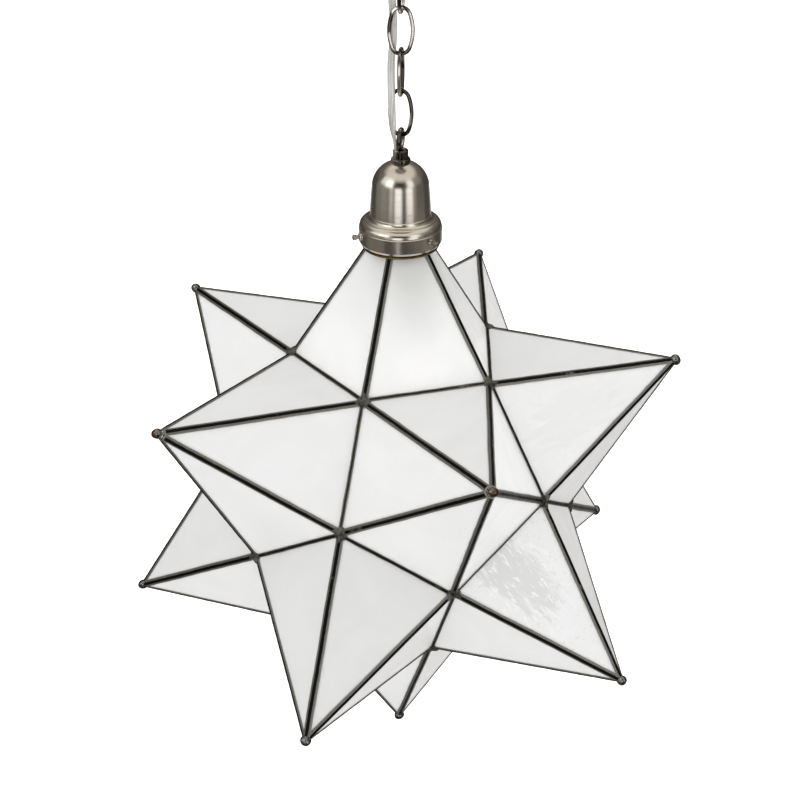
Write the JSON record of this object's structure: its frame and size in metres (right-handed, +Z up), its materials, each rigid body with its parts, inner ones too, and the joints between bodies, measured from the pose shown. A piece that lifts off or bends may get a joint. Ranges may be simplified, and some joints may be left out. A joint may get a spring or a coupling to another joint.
{
  "type": "moravian star pendant lamp",
  "caption": "White glass moravian star pendant with dark soldered seams, hung by a nickel shade holder, chain and cord from a ceiling canopy.",
  "frame": {"origin": "centre of the ceiling face, between the crossbar's two slots", "axes": "+Z up along the lamp's axis towards the ceiling; the picture looks along +Y and down"},
  "size_m": [0.4607, 0.4404, 0.743],
  "materials": {
    "white_glass": "white opal sheet glass, lightly wispy, gloss",
    "dark_solder": "soldered copper foil seams with black patina, worn grey along the strip edges",
    "polished_nickel": "polished nickel wire and fittings",
    "brushed_nickel": "spun and brushed nickel, lines round the axis",
    "aged_brass": "aged brass ring",
    "brass": "plain brass contact parts",
    "black_phenolic": "moulded black socket body",
    "lead_sleeve": "sleeved socket leads",
    "lamp_opal": "inside-frosted tubular lamp",
    "lamp_metal": "aluminium screw base",
    "zinc_steel": "zinc plated steel",
    "clear_cord": "clear jacket over two tinned conductors"
  },
  "bodies": {
    "ceiling_mount": {"crossbar": "zinc_steel", "canopy": "brushed_nickel", "canopy_nipple": "zinc_steel", "canopy_nut": "zinc_steel", "canopy_loop": "polished_nickel", "cord_1": "clear_cord"},
    "chain_link_1": {"link_1": "polished_nickel", "cord_2": "clear_cord"},
    "chain_link_2": {"link_2": "polished_nickel", "cord_3": "clear_cord"},
    "chain_link_3": {"link_3": "polished_nickel", "cord_4": "clear_cord"},
    "chain_link_4": {"link_4": "polished_nickel", "cord_5": "clear_cord"},
    "star_lamp": {"holder_loop": "polished_nickel", "holder_cup": "brushed_nickel", "holder_nipple": "zinc_steel", "holder_nut": "zinc_steel", "socket_cap": "black_phenolic", "socket_body": "black_phenolic", "screw_shell": "brass", "centre_contact": "brass", "socket_leads": "lead_sleeve", "lamp_base": "lamp_metal", "lamp_glass": "lamp_opal", "neck_ring": "aged_brass", "glass_top": "white_glass", "glass_upper_1": "white_glass", "glass_upper_2": "white_glass", "glass_upper_3": "white_glass", "glass_upper_4": "white_glass", "glass_upper_5": "white_glass", "glass_lower_1": "white_glass", "glass_lower_2": "white_glass", "glass_lower_3": "white_glass", "glass_lower_4": "white_glass", "glass_lower_5": "white_glass", "glass_bottom": "white_glass", "ridges_top": "dark_solder", "ridges_upper_1": "dark_solder", "ridges_upper_2": "dark_solder", "ridges_upper_3": "dark_solder", "ridges_upper_4": "dark_solder", "ridges_upper_5": "dark_solder", "ridges_lower_1": "dark_solder", "ridges_lower_2": "dark_solder", "ridges_lower_3": "dark_solder", "ridges_lower_4": "dark_solder", "ridges_lower_5": "dark_solder", "ridges_bottom": "dark_solder", "valleys_upper": "dark_solder", "valleys_middle": "dark_solder", "valleys_lower": "dark_solder", "valley_joints": "dark_solder"},
    "thumb_screw_1": {"thumb_screw_1": "brushed_nickel"},
    "thumb_screw_2": {"thumb_screw_2": "brushed_nickel"},
    "thumb_screw_3": {"thumb_screw_3": "brushed_nickel"}
  },
  "joints": [
    {"name": "swing_1", "type": "hinge", "parent": "ceiling_mount", "child": "chain_link_1", "pos_m": [0, 0, -0.05235], "axis": [1, 0, 0], "range_deg": [-15, 15], "deforming": ["cord_1"]},
    {"name": "swing_2", "type": "hinge", "parent": "chain_link_1", "child": "chain_link_2", "pos_m": [0, 0, -0.08425], "axis": [0.1736, 0.9848, 0], "range_deg": [-15, 15], "deforming": ["cord_2"]},
    {"name": "swing_3", "type": "hinge", "parent": "chain_link_2", "child": "chain_link_3", "pos_m": [0, 0, -0.11645], "axis": [1, 0, 0], "range_deg": [-15, 15], "deforming": ["cord_3"]},
    {"name": "swing_4", "type": "hinge", "parent": "chain_link_3", "child": "chain_link_4", "pos_m": [0, 0, -0.14865], "axis": [0.1564, 0.9877, 0], "range_deg": [-15, 15], "deforming": ["cord_4"]},
    {"name": "swing_5", "type": "hinge", "parent": "chain_link_4", "child": "star_lamp", "pos_m": [0, 0, -0.18085], "axis": [0.9397, -0.342, 0], "range_deg": [-15, 15], "deforming": ["cord_5"]},
    {"name": "thumb_screw_1_travel", "type": "slide", "parent": "star_lamp", "child": "thumb_screw_1", "axis": [0.7431, -0.6691, 0], "range_m": [0, 0.005]},
    {"name": "thumb_screw_2_travel", "type": "slide", "parent": "star_lamp", "child": "thumb_screw_2", "axis": [0.2079, 0.9781, 0], "range_m": [0, 0.005]},
    {"name": "thumb_screw_3_travel", "type": "slide", "parent": "star_lamp", "child": "thumb_screw_3", "axis": [-0.9511, -0.309, 0], "range_m": [0, 0.005]}
  ]
}
